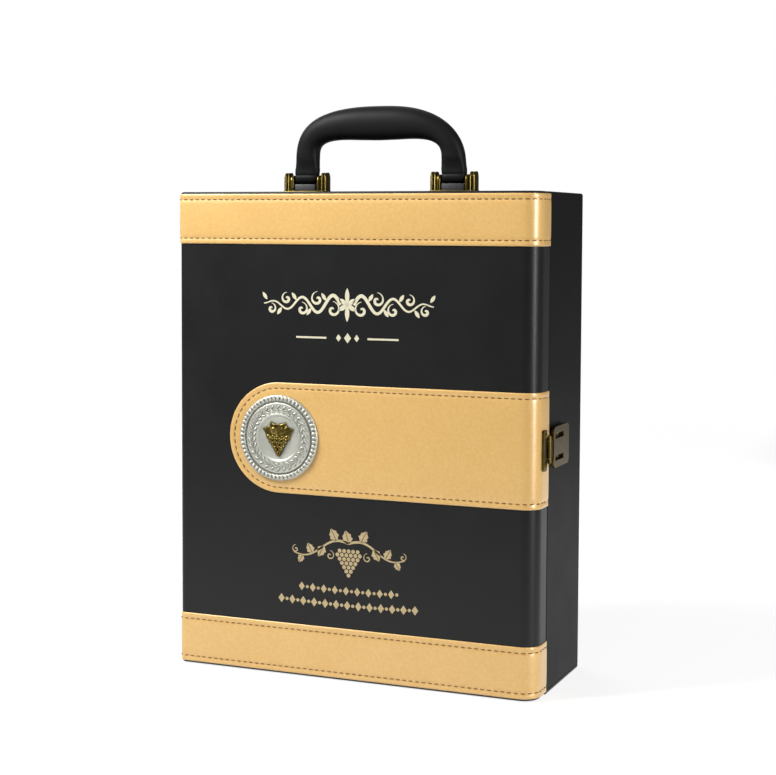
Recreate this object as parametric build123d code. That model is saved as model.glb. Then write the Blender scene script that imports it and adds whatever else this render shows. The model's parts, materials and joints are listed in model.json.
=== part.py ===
from build123d import *
import math
import os

# A leather-covered carrying box for three wine bottles. It stands upright on its base.
# The lid is the shallow front tray, hinged down the left side and latched on the right.
# X runs to the right, Y runs from the front to the back and Z runs up. The origin is the
# centre of the underside. All sizes are in millimetres.

os.makedirs("parts", exist_ok=True)

# Closed box, without handle, hinges and latch
box_width = 276.0
box_depth = 112.0
box_height = 350.0
lid_depth = 25.0
front_left_radius = 4.0
front_right_radius = 12.0
rear_radius = 8.0
edge_chamfer = 1.0
rim_chamfer = 0.6

# Stock thicknesses
leather = 1.0
gold_leather = 0.8
side_board = 8.0
face_board = 5.0
lining = 1.0
base_thickness = 2.5

# Clearances
seam_gap = 0.4
lid_floor_clearance = 0.8
running_clearance = 0.05
seat_clearance = 0.02
swing_clearance = 0.3

# Gold leather on the lid
band_width = 36.0
band_edge_margin = 1.6
tab_height = 80.0
tab_centre_x = -56.0
tab_centre_z = 173.0

# Medallion on the tab
medallion_radius = 31.0
medallion_rim_width = 5.5
medallion_rim_height = 2.6
medallion_field_height = 1.8
medallion_well_radius = 16.5
medallion_well_depth = 0.6
grape_radius = 1.75
grape_height = 1.5
grape_rows = (4, 5, 4, 3, 2, 1)

# Bottle fittings
bay_count = 3
divider_thickness = 6.0
divider_depth = 61.0
divider_corner_radius = 30.0
bottle_radius = 38.0
bottle_clearance = 2.0
bed_thickness = 12.0
bed_scallop_floor = 3.0
neck_rest_height = 250.0
neck_rest_thickness = 16.0
neck_rest_depth = 69.0
neck_notch_radius = 17.0
pad_thickness = 13.0
pad_margin = 2.0
pad_crown_radius = 6.0

# Hinges on the left side
hinge_end_distance = 75.0
hinge_length = 38.0
hinge_leaf_width = 15.0
hinge_leaf_thickness = 1.2
hinge_knuckle_radius = 2.6
hinge_middle_share = 14.0
hinge_pin_radius = 1.2
hinge_finial_radius = 1.8
hinge_finial_height = 2.0

# Latch on the right side
latch_centre_z = 173.0
latch_height = 28.4
latch_plate_start = 8.5
latch_plate_width = 7.0
latch_plate_thickness = 1.6
latch_knuckle_radius = 1.9
latch_pin_radius = 0.8
latch_strap_height = 11.6
latch_strap_thickness = 1.2
latch_fixed_knuckle_length = 3.0
latch_flap_start = 28.0
latch_flap_length = 36.0
latch_flap_thickness = 1.9
latch_flap_corner = 4.0
latch_window_height = 3.8
latch_window_length = 20.0
latch_window_start = 3.0
catch_thickness = 0.8
catch_margin = 3.0
catch_corner = 1.8
catch_ridge_height = 0.5
catch_ridge_width = 2.0

# Handle on the top
handle_centre_y = -5.0
handle_pin_spacing = 116.5
handle_pin_height = 11.0
handle_pin_radius = 1.6
handle_leg_width = 18.5
handle_leg_end_thickness = 9.0
handle_leg_end_squareness = 0.5
handle_corner_radius = 23.0
handle_shoulder_height = 49.3
handle_middle_height = 51.3
handle_middle_width = 25.8
handle_corner_width = 20.0
handle_corner_thickness = 17.0
handle_middle_thickness = 22.0
handle_eye_radius = 3.0
handle_eye_width = 14.0
handle_tang_width = 10.0
handle_tang_thickness = 4.0
handle_tang_length = 6.0
handle_leg_end_height = 7.5
grip_sides = 16
grip_corner_steps = 4
bracket_ear_height = 15.0
bracket_ear_depth = 10.0
bracket_ear_radius = 4.5
bracket_ear_thickness = 4.6
bracket_rib_thickness = 2.0
bracket_rib_height = 8.0
bracket_groove = 1.2
bracket_base_thickness = 1.5
bracket_base_depth = 13.0
bracket_screw_radius = 2.0
bracket_screw_head_radius = 4.0
bracket_screw_head_height = 2.0
saddle_width = 17.0
saddle_depth = 9.0
saddle_chamfer = 0.75
saddle_clearance = 0.4

# Planes and edges that several pieces share
left_x = -box_width / 2
right_x = box_width / 2
front_y = -box_depth / 2
rear_y = box_depth / 2
seam_y = front_y + lid_depth
lid_back_y = seam_y - seam_gap / 2
case_front_y = seam_y + seam_gap / 2
cavity_half_width = box_width / 2 - leather - side_board
cavity_top_z = box_height - leather - side_board
case_floor_z = base_thickness + side_board
lid_floor_z = lid_floor_clearance + leather + side_board
case_cavity_y = rear_y - leather - face_board
lid_cavity_y = front_y + leather + face_board
inner_half_width = cavity_half_width - lining
inner_floor_z = case_floor_z + lining
inner_top_z = cavity_top_z - lining
inner_back_y = case_cavity_y - lining
bay_width = (2 * inner_half_width - (bay_count - 1) * divider_thickness) / bay_count
bay_pitch = bay_width + divider_thickness
bay_centres = [(i - (bay_count - 1) / 2) * bay_pitch for i in range(bay_count)]
divider_centres = [(a + b) / 2 for a, b in zip(bay_centres, bay_centres[1:])]
bed_front_y = inner_back_y - bed_thickness
scallop_radius = bottle_radius + bottle_clearance
bottle_y = inner_back_y - bed_scallop_floor - scallop_radius
neck_rest_z = inner_floor_z + neck_rest_height
hinge_x = left_x - hinge_knuckle_radius - swing_clearance
hinge_heights = (hinge_end_distance, box_height - hinge_end_distance)
tab_face_x = right_x + gold_leather
latch_pin_x = tab_face_x + latch_knuckle_radius + swing_clearance
latch_plate_y = front_y + latch_plate_start
latch_pin_y = latch_plate_y + latch_plate_width + latch_knuckle_radius + swing_clearance
latch_flap_y = front_y + latch_flap_start
flap_inner_x = right_x + catch_thickness + catch_ridge_height + swing_clearance
flap_outer_x = flap_inner_x + latch_flap_thickness
handle_pin_z = box_height + handle_pin_height
handle_pin_x = handle_pin_spacing / 2
ear_gap = handle_leg_width + 2 * swing_clearance
ear_inner = ear_gap / 2 + bracket_rib_thickness + bracket_groove
bracket_half_width = ear_inner + bracket_ear_thickness


def block(x0, x1, y0, y1, z0, z1):
    """Box between two opposite corners."""
    return Pos((x0 + x1) / 2, (y0 + y1) / 2, (z0 + z1) / 2) * Box(x1 - x0, y1 - y0, z1 - z0)


def rod(radius, start, end):
    """Round bar between two points."""
    axis = Vector(*end) - Vector(*start)
    return extrude(Plane(origin=start, z_dir=axis) * Circle(radius), amount=axis.length)


def rounded_plan(x0, x1, y0, y1, radii):
    """Rectangle in plan with a radius at each listed corner point."""
    plan = Pos((x0 + x1) / 2, (y0 + y1) / 2) * Rectangle(x1 - x0, y1 - y0)
    for corner, radius in radii.items():
        if radius > 0:
            plan = fillet(plan.vertices().sort_by_distance(Vector(*corner, 0))[:1], radius)
    return plan


def case_body(inset):
    """Form of the case, drawn in by inset on all sides but the open underside."""
    x0, x1 = left_x + inset, right_x - inset
    y0, y1 = case_front_y + inset, rear_y - inset
    radius = rear_radius - inset
    plan = rounded_plan(x0, x1, y0, y1, {(x0, y1): radius, (x1, y1): radius})
    body = Pos(0, 0, base_thickness) * extrude(plan, amount=box_height - inset - base_thickness)
    if edge_chamfer <= inset:
        return body
    return chamfer(body.faces().sort_by(Axis.Z)[-1].edges().group_by(Axis.Y)[1:], edge_chamfer - inset)


def case_cavity():
    """Room inside the case boards, open at the front."""
    return block(-cavity_half_width, cavity_half_width, case_front_y - leather, case_cavity_y,
                 case_floor_z, cavity_top_z)


def lid_body(inset):
    """Form of the lid, drawn in by inset on every side, or swelled by a negative inset."""
    x0, x1 = left_x + inset, right_x - inset
    y0, y1 = front_y + inset, lid_back_y - inset
    radii = {(x0, y0): front_left_radius - inset, (x1, y0): front_right_radius - inset}
    height = box_height - lid_floor_clearance - 2 * inset
    return Pos(0, 0, lid_floor_clearance + inset) * extrude(rounded_plan(x0, x1, y0, y1, radii), amount=height)


def lid_cavity():
    """Room inside the lid boards, open at the back."""
    return block(-cavity_half_width, cavity_half_width, lid_cavity_y, lid_back_y + leather,
                 lid_floor_z, cavity_top_z)


def bracket_screw(x):
    """Pan-head screw from inside the box, through the top board into a bracket base."""
    y, seat, tip = handle_centre_y, inner_top_z, box_height + bracket_base_thickness
    head = rod(bracket_screw_head_radius, (x, y, seat - bracket_screw_head_height), (x, y, seat))
    return head + rod(bracket_screw_radius, (x, y, seat), (x, y, tip))


def screw_holes():
    """Holes for the bracket screws through lining, board, leather and bracket base."""
    radius = bracket_screw_radius + seat_clearance
    y, tip = handle_centre_y, box_height + bracket_base_thickness
    return Compound([rod(radius, (x, y, inner_top_z), (x, y, tip)) for x in (-handle_pin_x, handle_pin_x)])


def case_leather():
    """Black leather over the case, turned in over the front edges of the boards."""
    outer = case_body(0)
    rim = outer.faces().sort_by(Axis.Y)[0].edges()
    outer = chamfer(rim.group_by(Axis.Z)[1:], rim_chamfer)
    return outer - case_body(leather) - case_cavity() - screw_holes()


def base_panel():
    """Leather-covered sheet under the case, whose bevelled edge shows as a thin lip."""
    radii = {(left_x, rear_y): rear_radius, (right_x, rear_y): rear_radius}
    plan = rounded_plan(left_x, right_x, case_front_y, rear_y, radii)
    panel = extrude(plan, amount=base_thickness)
    return chamfer(panel.edges().group_by(Axis.Z)[0] + panel.edges().group_by(Axis.Z)[-1], rim_chamfer)


def case_boards():
    """The five boards of the case, cut from one form along the faces of the cavity."""
    core = case_body(leather) - case_cavity() - screw_holes()
    far = box_height * 2
    inside = cavity_half_width
    middle = block(-inside, inside, -far, far, case_floor_z, cavity_top_z)
    return {
        "case_left_board": core & block(-far, -inside, -far, far, 0, far),
        "case_right_board": core & block(inside, far, -far, far, 0, far),
        "case_top_board": core & block(-inside, inside, -far, far, cavity_top_z, far),
        "case_bottom_board": core & block(-inside, inside, -far, far, 0, case_floor_z),
        "case_back_board": core & middle,
    }


def case_lining():
    """Flocked lining on the five inner faces of the case."""
    start = case_front_y + leather
    shell = block(-cavity_half_width, cavity_half_width, start, case_cavity_y, case_floor_z, cavity_top_z)
    room = block(-inner_half_width, inner_half_width, start - leather, inner_back_y,
                 inner_floor_z, inner_top_z)
    return shell - room - screw_holes()


def bottle_bed():
    """Foam board on the back wall with a scallop for each bottle."""
    bed = block(-inner_half_width, inner_half_width, bed_front_y, inner_back_y, inner_floor_z, neck_rest_z)
    for x in bay_centres:
        bed -= rod(scallop_radius, (x, bottle_y, 0), (x, bottle_y, box_height))
    return bed


def divider(x):
    """Upright board between two bottles, with its upper front corner rounded away."""
    half = divider_thickness / 2
    board = block(x - half, x + half, bed_front_y - divider_depth, bed_front_y, inner_floor_z, neck_rest_z)
    corner = board.edges().filter_by(Axis.X).sort_by_distance(
        Vector(x, bed_front_y - divider_depth, neck_rest_z))[:1]
    return fillet(corner, divider_corner_radius)


def neck_rest():
    """Shelf with a notch for each bottle neck, open to the front."""
    front = inner_back_y - neck_rest_depth
    top = neck_rest_z + neck_rest_thickness
    shelf = block(-inner_half_width, inner_half_width, front, inner_back_y, neck_rest_z, top)
    for x in bay_centres:
        shelf -= rod(neck_notch_radius, (x, bottle_y, 0), (x, bottle_y, box_height))
        shelf -= block(x - neck_notch_radius, x + neck_notch_radius, front - 1, bottle_y, 0, box_height)
    return shelf


def lid_leather():
    """Black leather over the lid, turned in over the back edges of the boards."""
    outer = lid_body(0)
    ends = outer.faces().sort_by(Axis.Z)
    outer = chamfer(ends[0].edges().group_by(Axis.Y)[:-1] + ends[-1].edges().group_by(Axis.Y)[:-1], edge_chamfer)
    outer = chamfer(outer.faces().sort_by(Axis.Y)[-1].edges(), rim_chamfer)
    return outer - lid_body(leather) - lid_cavity()


def lid_boards():
    """Front board and four rails. The right rail carries the large rounded corner."""
    core = lid_body(leather) - lid_cavity()
    far = box_height * 2
    inside = cavity_half_width
    corner_x = right_x - front_right_radius
    return {
        "lid_left_rail": core & block(-far, -inside, -far, far, 0, far),
        "lid_right_rail": core & (block(corner_x, far, -far, lid_cavity_y, 0, far)
                                  + block(inside, far, -far, far, 0, far)),
        "lid_front_board": core & block(-inside, corner_x, -far, lid_cavity_y, 0, far),
        "lid_top_rail": core & block(-inside, inside, lid_cavity_y, far, cavity_top_z, far),
        "lid_bottom_rail": core & block(-inside, inside, lid_cavity_y, far, 0, lid_floor_z),
    }


def lid_lining():
    """Flocked lining on the five inner faces of the lid."""
    end = lid_back_y - leather
    shell = block(-cavity_half_width, cavity_half_width, lid_cavity_y, end, lid_floor_z, cavity_top_z)
    room = block(-inner_half_width, inner_half_width, lid_cavity_y + lining, end + leather,
                 lid_floor_z + lining, inner_top_z)
    return shell - room


def lid_pad():
    """Crowned cushion in the lid that keeps the bottles in their bed."""
    half = inner_half_width - pad_margin
    back = lid_cavity_y + lining
    pad = block(-half, half, back, back + pad_thickness, lid_floor_z + lining + pad_margin,
                inner_top_z - pad_margin)
    return fillet(pad.faces().sort_by(Axis.Y)[-1].edges(), pad_crown_radius)


def gold_skin(window):
    """Gold leather round the front and sides of the lid, where the window lets it through."""
    reach = block(-box_width, box_width, -box_depth, lid_back_y - rim_chamfer, 0, box_height)
    return (lid_body(-gold_leather) & reach & window) - lid_body(0)


def gold_band(bottom_z):
    """Band that runs round the front and both sides of the lid."""
    return gold_skin(block(-box_width, box_width, -box_depth, box_depth, bottom_z, bottom_z + band_width))


def gold_tab():
    """Round-ended tab that runs round the right corner to the latch."""
    half = tab_height / 2
    body = block(tab_centre_x, box_width, -box_depth, box_depth, tab_centre_z - half, tab_centre_z + half)
    end = rod(half, (tab_centre_x, -box_depth, tab_centre_z), (tab_centre_x, front_y + leather, tab_centre_z))
    return gold_skin(body + end)


def medallion():
    """Cast plate turned as one profile: raised rim, flat ring and a sunken well."""
    rim_inner = medallion_radius - medallion_rim_width
    well = medallion_field_height - medallion_well_depth
    outline = Polyline((0, 0), (medallion_radius, 0), (medallion_radius, medallion_rim_height),
                       (rim_inner, medallion_rim_height), (rim_inner, medallion_field_height),
                       (medallion_well_radius, medallion_field_height), (medallion_well_radius, well),
                       (0, well), close=True)
    plate = revolve(Plane.XZ * make_face(outline), axis=Axis.Z)
    seat = Plane(origin=(tab_centre_x, front_y - gold_leather, tab_centre_z), x_dir=(1, 0, 0), z_dir=(0, -1, 0))
    return seat * plate


def grape_bunch():
    """Heap of grapes, in rows set like bricks, standing on the floor of the medallion's well."""
    floor_y = front_y - gold_leather - medallion_field_height + medallion_well_depth
    across = grape_radius * math.sqrt(3)
    drop = grape_radius * 1.5
    top = drop * (len(grape_rows) - 1) / 2
    heap = Sketch()
    for row, count in enumerate(grape_rows):
        for i in range(count):
            heap += Pos((i - (count - 1) / 2) * across, top - row * drop) * RegularPolygon(grape_radius, 6, rotation=30)
    seat = Plane(origin=(tab_centre_x, floor_y, tab_centre_z), x_dir=(1, 0, 0), z_dir=(0, -1, 0))
    return extrude(seat * heap, amount=grape_height)


def hinge_knuckles(centre_z, on_lid):
    """Heights between which one leaf has knuckles: the middle on the lid, the ends on the case."""
    middle = hinge_middle_share / 2
    if on_lid:
        return [(centre_z - middle, centre_z + middle)]
    end = hinge_length / 2
    gap = middle + swing_clearance
    return [(centre_z - end, centre_z - gap), (centre_z + gap, centre_z + end)]


def hinge_leaf(centre_z, on_lid):
    """One leaf with its knuckles, nailed flat on the left side."""
    side = -1 if on_lid else 1
    near = seam_y
    far = seam_y + side * (hinge_leaf_width + hinge_knuckle_radius)
    low, high = centre_z - hinge_length / 2, centre_z + hinge_length / 2
    leaf = block(left_x - hinge_leaf_thickness, left_x, min(near, far), max(near, far), low, high)
    corners = leaf.edges().filter_by(Axis.X).group_by(Axis.Y)[0 if on_lid else -1]
    leaf = fillet(corners, hinge_knuckle_radius)
    relief = hinge_knuckle_radius + swing_clearance
    for z0, z1 in hinge_knuckles(centre_z, not on_lid):
        leaf -= block(left_x - hinge_leaf_thickness, left_x, seam_y - relief, seam_y + relief,
                      z0 - swing_clearance, z1 + swing_clearance)
    clearance = running_clearance if on_lid else seat_clearance
    for z0, z1 in hinge_knuckles(centre_z, on_lid):
        leaf += rod(hinge_knuckle_radius, (hinge_x, seam_y, z0), (hinge_x, seam_y, z1))
    return leaf - rod(hinge_pin_radius + clearance, (hinge_x, seam_y, low), (hinge_x, seam_y, high))


def hinge_pin(centre_z):
    """Hinge pin with a small head at each end of the barrel."""
    half = hinge_length / 2
    tip = half + hinge_finial_height
    pin = rod(hinge_pin_radius, (hinge_x, seam_y, centre_z - half), (hinge_x, seam_y, centre_z + half))
    for z0, z1 in ((centre_z - tip, centre_z - half), (centre_z + half, centre_z + tip)):
        pin += rod(hinge_finial_radius, (hinge_x, seam_y, z0), (hinge_x, seam_y, z1))
    return pin


def latch_plate():
    """Narrow plate nailed to the lid, with a knuckle above and below the flap's strap."""
    half = latch_height / 2
    end_y = latch_plate_y + latch_plate_width
    plate = block(tab_face_x, tab_face_x + latch_plate_thickness, latch_plate_y, end_y,
                  latch_centre_z - half, latch_centre_z + half)
    plate = fillet(plate.edges().filter_by(Axis.X), latch_plate_thickness)
    gap = latch_strap_height / 2 + swing_clearance
    reach = gap + latch_fixed_knuckle_length
    for side in (-1, 1):
        z0, z1 = latch_centre_z + side * gap, latch_centre_z + side * reach
        plate += rod(latch_knuckle_radius, (latch_pin_x, latch_pin_y, z0), (latch_pin_x, latch_pin_y, z1))
        plate += block(tab_face_x, tab_face_x + latch_plate_thickness, end_y, latch_pin_y, min(z0, z1), max(z0, z1))
    return plate - rod(latch_pin_radius + seat_clearance, (latch_pin_x, latch_pin_y, latch_centre_z - half),
                       (latch_pin_x, latch_pin_y, latch_centre_z + half))


def latch_pin():
    """Pin through the knuckles of the latch."""
    reach = latch_strap_height / 2 + swing_clearance + latch_fixed_knuckle_length + latch_pin_radius
    return rod(latch_pin_radius, (latch_pin_x, latch_pin_y, latch_centre_z - reach),
               (latch_pin_x, latch_pin_y, latch_centre_z + reach))


def latch_flap():
    """Swinging flap: barrel and strap at the lid, and a windowed cover plate over the catch."""
    strap_half = latch_strap_height / 2
    half = latch_height / 2
    end_y = latch_flap_y + latch_flap_length
    cover = block(flap_inner_x, flap_outer_x, latch_flap_y, end_y, latch_centre_z - half, latch_centre_z + half)
    cover = fillet(cover.edges().filter_by(Axis.X), latch_flap_corner)
    window_y = latch_flap_y + latch_window_start
    for side in (-1, 1):
        z0 = latch_centre_z + side * strap_half
        z1 = z0 + side * latch_window_height
        cover -= block(flap_inner_x, flap_outer_x, window_y, window_y + latch_window_length, min(z0, z1), max(z0, z1))
    strap = block(flap_inner_x, flap_inner_x + latch_strap_thickness, latch_pin_y, latch_flap_y + latch_window_start,
                  latch_centre_z - strap_half, latch_centre_z + strap_half)
    flap = cover + strap + rod(latch_knuckle_radius, (latch_pin_x, latch_pin_y, latch_centre_z - strap_half),
                               (latch_pin_x, latch_pin_y, latch_centre_z + strap_half))
    bore = latch_pin_radius + running_clearance
    return flap - rod(bore, (latch_pin_x, latch_pin_y, latch_centre_z - half),
                      (latch_pin_x, latch_pin_y, latch_centre_z + half))


def catch_plate():
    """Plate nailed to the case under the flap, with the low ridge that the flap snaps over."""
    start = latch_flap_y + catch_margin
    end = latch_flap_y + latch_flap_length - catch_margin
    half = latch_height / 2 - catch_margin
    plate = block(right_x, right_x + catch_thickness, start, end, latch_centre_z - half, latch_centre_z + half)
    plate = fillet(plate.edges().filter_by(Axis.X), catch_corner)
    middle = (start + end) / 2
    strap_half = latch_strap_height / 2
    return plate + block(right_x, right_x + catch_thickness + catch_ridge_height, middle - catch_ridge_width / 2,
                         middle + catch_ridge_width / 2, latch_centre_z - strap_half, latch_centre_z + strap_half)


def arch_profile(plane, width, height, radius):
    """Upright profile with its two upper corners rounded."""
    profile = Pos(0, height / 2) * Rectangle(width, height)
    return plane * fillet(profile.vertices().group_by(Axis.Y)[-1], radius)


def handle_bracket(centre_x):
    """Metal bracket: a base, two tall ears and a low rib beside each end of the leg."""
    y, half_depth = handle_centre_y, bracket_base_depth / 2
    base = block(centre_x - bracket_half_width, centre_x + bracket_half_width, y - half_depth, y + half_depth,
                 box_height, box_height + bracket_base_thickness)
    bracket = chamfer(base.edges().filter_by(Axis.Z), bracket_base_thickness)
    for side in (-1, 1):
        for inner, width, height in ((ear_gap / 2, bracket_rib_thickness, bracket_rib_height),
                                     (ear_inner, bracket_ear_thickness, bracket_ear_height)):
            plane = Plane(origin=(centre_x + side * inner, y, box_height), x_dir=(0, 1, 0), z_dir=(1, 0, 0))
            profile = arch_profile(plane, bracket_ear_depth, height, bracket_ear_radius)
            bracket += extrude(profile, amount=side * width)
    return bracket - handle_pin(centre_x, seat_clearance) - screw_holes()


def handle_saddle(centre_x):
    """Black block on the bracket base, just under the end of the leg."""
    top = handle_pin_z - handle_leg_end_thickness / 2 - saddle_clearance
    base = box_height + bracket_base_thickness
    y, half_depth = handle_centre_y, saddle_depth / 2
    saddle = block(centre_x - saddle_width / 2, centre_x + saddle_width / 2, y - half_depth, y + half_depth,
                   base, top)
    return chamfer(saddle.faces().sort_by(Axis.Z)[-1].edges(), saddle_chamfer)


def handle_pin(centre_x, clearance=0):
    """Pivot pin through both ears and the eye of the handle, or the room it takes."""
    reach = bracket_half_width - bracket_groove
    y, z = handle_centre_y, handle_pin_z
    return rod(handle_pin_radius + clearance, (centre_x - reach, y, z), (centre_x + reach, y, z))


def handle_eye(x):
    """Metal end of the handle: an eye on the pivot pin and a flat tang up inside the leg."""
    half, tang_half, tang_depth = handle_eye_width / 2, handle_tang_width / 2, handle_tang_thickness / 2
    y, z = handle_centre_y, handle_pin_z
    eye = rod(handle_eye_radius, (x - half, y, z), (x + half, y, z))
    eye += block(x - tang_half, x + tang_half, y - tang_depth, y + tang_depth, z, z + handle_tang_length)
    return eye - handle_pin(x, running_clearance)


def leg_end_waste(x):
    """What is cut from the end of a leg below its pin, to leave it round about the pin."""
    radius, side = handle_leg_end_thickness / 2, handle_leg_width
    y, z = handle_centre_y, handle_pin_z
    below = block(x - side, x + side, y - 2 * radius, y + 2 * radius, z - 2 * radius, z)
    return below - rod(radius, (x - side, y, z), (x + side, y, z))


def grip_section(x, height, width, thickness, power, lean):
    """Many-sided section of the grip, square to its run, which leans from upright in degrees.

    A power of 1 gives an oval and a smaller one squares it up.
    """
    run = Vector(math.sin(math.radians(lean)), 0, math.cos(math.radians(lean)))
    plane = Plane(origin=(x, handle_centre_y, box_height + height), x_dir=(0, 1, 0), z_dir=run)
    points = []
    for i in range(grip_sides):
        turn = 2 * math.pi * (i + 0.5) / grip_sides
        across, along = (math.copysign(abs(part) ** power, part) for part in (math.cos(turn), math.sin(turn)))
        points.append((thickness / 2 * across, width / 2 * along))
    return plane * Polygon(*points, align=None)


def grip_stations():
    """Sections from the right leg's end to the middle: place, size and lean."""
    end = handle_leg_width, handle_leg_end_thickness, handle_leg_end_squareness
    full = handle_corner_width, handle_corner_thickness, 1
    turn_x, turn_height = handle_pin_x - handle_corner_radius, handle_shoulder_height - handle_corner_radius
    shoulder = handle_pin_height + handle_leg_end_height
    foot = handle_pin_height - handle_leg_end_thickness
    stations = [(handle_pin_x, foot, *end, 0), (handle_pin_x, shoulder, *end, 0),
                (handle_pin_x, (shoulder + turn_height) / 2, *full, 0)]
    for i in range(grip_corner_steps + 1):
        lean = 90 * i / grip_corner_steps
        along, up = math.cos(math.radians(lean)), math.sin(math.radians(lean))
        stations.append((turn_x + handle_corner_radius * along, turn_height + handle_corner_radius * up, *full, -lean))
    middle = handle_middle_width, handle_middle_thickness, 1
    near = [(2 * wide + slim) / 3 for wide, slim in zip(middle, full)]
    rise = handle_middle_height - handle_shoulder_height
    stations.append((turn_x / 2, handle_shoulder_height + rise * 2 / 3, *near, -90))
    stations.append((0, handle_middle_height, *middle, -90))
    return stations


def handle_grip():
    """Padded leather grip: two legs over the eyes and a middle that swells between them."""
    right = grip_stations()
    left = [(-x, *size, -180 - lean) for x, *size, lean in reversed(right[:-1])]
    grip = loft([grip_section(*station) for station in right + left], ruled=True)
    for x in (-handle_pin_x, handle_pin_x):
        grip -= leg_end_waste(x)
        grip -= handle_eye(x) + handle_pin(x, swing_clearance)
    return grip


nodes = {
    "case_leather": case_leather(),
    "case_base_panel": base_panel(),
    "case_lining": case_lining(),
    "bottle_bed": bottle_bed(),
    "neck_rest": neck_rest(),
    "lid_leather": lid_leather(),
    "lid_lining": lid_lining(),
    "lid_pad": lid_pad(),
    "gold_band_top": gold_band(box_height - band_edge_margin - band_width),
    "gold_band_bottom": gold_band(lid_floor_clearance + band_edge_margin),
    "gold_tab": gold_tab(),
    "medallion": medallion(),
    "grape_bunch": grape_bunch(),
    "latch_lid_plate": latch_plate(),
    "latch_pin": latch_pin(),
    "latch_flap": latch_flap(),
    "latch_catch_plate": catch_plate(),
    "handle_grip": handle_grip(),
    "handle_bracket_screws": Compound([bracket_screw(x) for x in (-handle_pin_x, handle_pin_x)]),
}
nodes.update(case_boards())
nodes.update(lid_boards())
for name, x in zip(("left", "right"), divider_centres):
    nodes[f"divider_{name}"] = divider(x)
for name, x in (("left", -handle_pin_x), ("right", handle_pin_x)):
    nodes[f"handle_bracket_{name}"] = handle_bracket(x)
    nodes[f"handle_saddle_{name}"] = handle_saddle(x)
    nodes[f"handle_pin_{name}"] = handle_pin(x)
    nodes[f"handle_eye_{name}"] = handle_eye(x)
for name, z in zip(("lower", "upper"), hinge_heights):
    nodes[f"hinge_lid_leaf_{name}"] = hinge_leaf(z, True)
    nodes[f"hinge_case_leaf_{name}"] = hinge_leaf(z, False)
    nodes[f"hinge_pin_{name}"] = hinge_pin(z)

for name, shape in nodes.items():
    export_step(shape, f"parts/{name}.step")
print(len(nodes), "nodes written")
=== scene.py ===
import json
import math
import random

import bmesh
import bpy
from mathutils import Matrix, Vector


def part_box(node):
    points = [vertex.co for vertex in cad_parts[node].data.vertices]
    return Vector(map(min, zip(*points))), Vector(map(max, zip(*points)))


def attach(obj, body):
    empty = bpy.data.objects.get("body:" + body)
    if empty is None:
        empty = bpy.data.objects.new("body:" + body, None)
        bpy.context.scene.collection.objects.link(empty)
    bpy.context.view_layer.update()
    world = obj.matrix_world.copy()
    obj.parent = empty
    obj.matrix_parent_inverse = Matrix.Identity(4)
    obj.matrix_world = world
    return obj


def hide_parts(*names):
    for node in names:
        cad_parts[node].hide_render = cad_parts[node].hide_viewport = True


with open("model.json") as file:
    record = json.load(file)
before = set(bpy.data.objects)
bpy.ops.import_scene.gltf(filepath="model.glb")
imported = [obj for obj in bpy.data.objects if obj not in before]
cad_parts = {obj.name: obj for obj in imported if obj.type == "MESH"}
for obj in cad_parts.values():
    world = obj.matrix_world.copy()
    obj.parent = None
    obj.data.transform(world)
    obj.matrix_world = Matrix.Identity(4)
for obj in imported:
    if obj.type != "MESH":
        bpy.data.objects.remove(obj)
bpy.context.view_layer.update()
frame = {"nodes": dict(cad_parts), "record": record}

# Lengths below are in millimetres and become metres when a mesh is made
MM = 0.001
RANDOM = random.Random(7)

# Distances in metres under which points are joined; the fine one keeps the parts of a cluster apart
MERGE = 0.00001
FINE_MERGE = 0.0000001


def node_box(name):
    """Lowest and highest corner of a CAD node in millimetres."""
    low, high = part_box(name)
    return low / MM, high / MM


# ---- mesh helpers ----

def new_object(name, mesh):
    obj = bpy.data.objects.new(name, mesh)
    bpy.context.scene.collection.objects.link(obj)
    return obj


def clean(mesh, merge):
    """Joins points that coincide and turns all faces outward."""
    work = bmesh.new()
    work.from_mesh(mesh)
    bmesh.ops.remove_doubles(work, verts=work.verts, dist=merge)
    bmesh.ops.recalc_face_normals(work, faces=work.faces)
    work.to_mesh(mesh)
    work.free()


def build(name, verts, faces, sharp=40, merge=MERGE):
    """Object from points in millimetres, smooth where faces meet at less than sharp degrees."""
    mesh = bpy.data.meshes.new(name)
    mesh.from_pydata([(v[0] * MM, v[1] * MM, v[2] * MM) for v in verts], [], faces)
    clean(mesh, merge)
    mesh.shade_smooth()
    mesh.set_sharp_from_angle(angle=math.radians(sharp))
    return new_object(name, mesh)


def bake_modifiers(obj):
    """Turns the object's modifiers into its mesh."""
    bpy.context.view_layer.update()
    graph = bpy.context.evaluated_depsgraph_get()
    mesh = bpy.data.meshes.new_from_object(obj.evaluated_get(graph))
    old = obj.data
    obj.modifiers.clear()
    obj.data = mesh
    bpy.data.meshes.remove(old)


def finish_piece(obj, body, slot, material, replaces=()):
    """Gives a piece its material and the body it rides, and hides the CAD nodes that it stands for. The slot
    is not used.
    """
    obj.data.materials.clear()
    obj.data.materials.append(material)
    if replaces:
        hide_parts(*replaces)
    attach(obj, body)


def rounded(obj, width):
    """Rounds the sharp edges of an object and keeps its flat faces flat."""
    bevel = obj.modifiers.new("round", "BEVEL")
    bevel.width = width * MM
    bevel.segments = 3
    bevel.limit_method = "ANGLE"
    bevel.angle_limit = math.radians(32)
    bevel.use_clamp_overlap = True
    bevel.miter_outer = "MITER_ARC"
    obj.modifiers.new("normals", "WEIGHTED_NORMAL")
    bake_modifiers(obj)


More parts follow.
